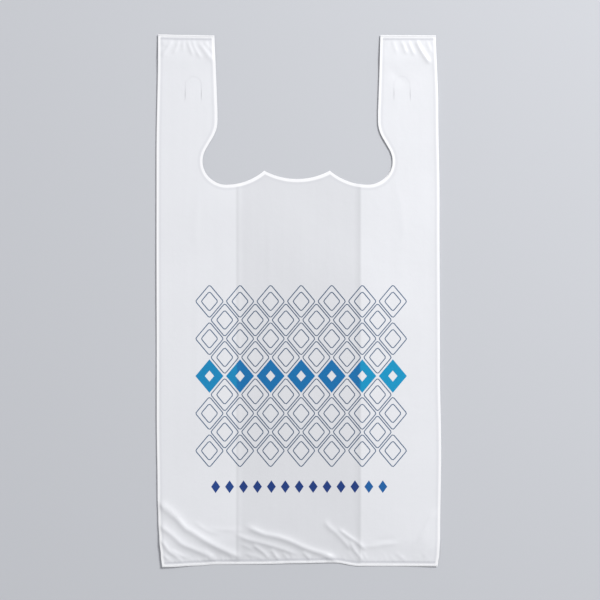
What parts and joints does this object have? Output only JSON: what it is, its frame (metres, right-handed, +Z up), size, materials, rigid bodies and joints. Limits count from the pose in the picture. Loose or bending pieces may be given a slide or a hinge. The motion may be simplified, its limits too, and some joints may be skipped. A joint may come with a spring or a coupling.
{
  "type": "plastic carrier bag",
  "caption": "Thin white carrier bag with side gussets, two cut-out handles and a scalloped mouth, folded flat and lying on its back.",
  "frame": {"origin": "on the surface that the bag lies on, below the middle of its flat outline", "axes": "+Z up out of the printed front, +Y along the bag from its bottom seal to its handles, +X across it"},
  "size_m": [0.292, 0.551, 0.0015],
  "materials": {
    "white_film": "satin white blown film, with a plain blue pattern printed on the front"
  },
  "bodies": {
    "root": {"carrier_bag": "white_film"}
  },
  "joints": []
}
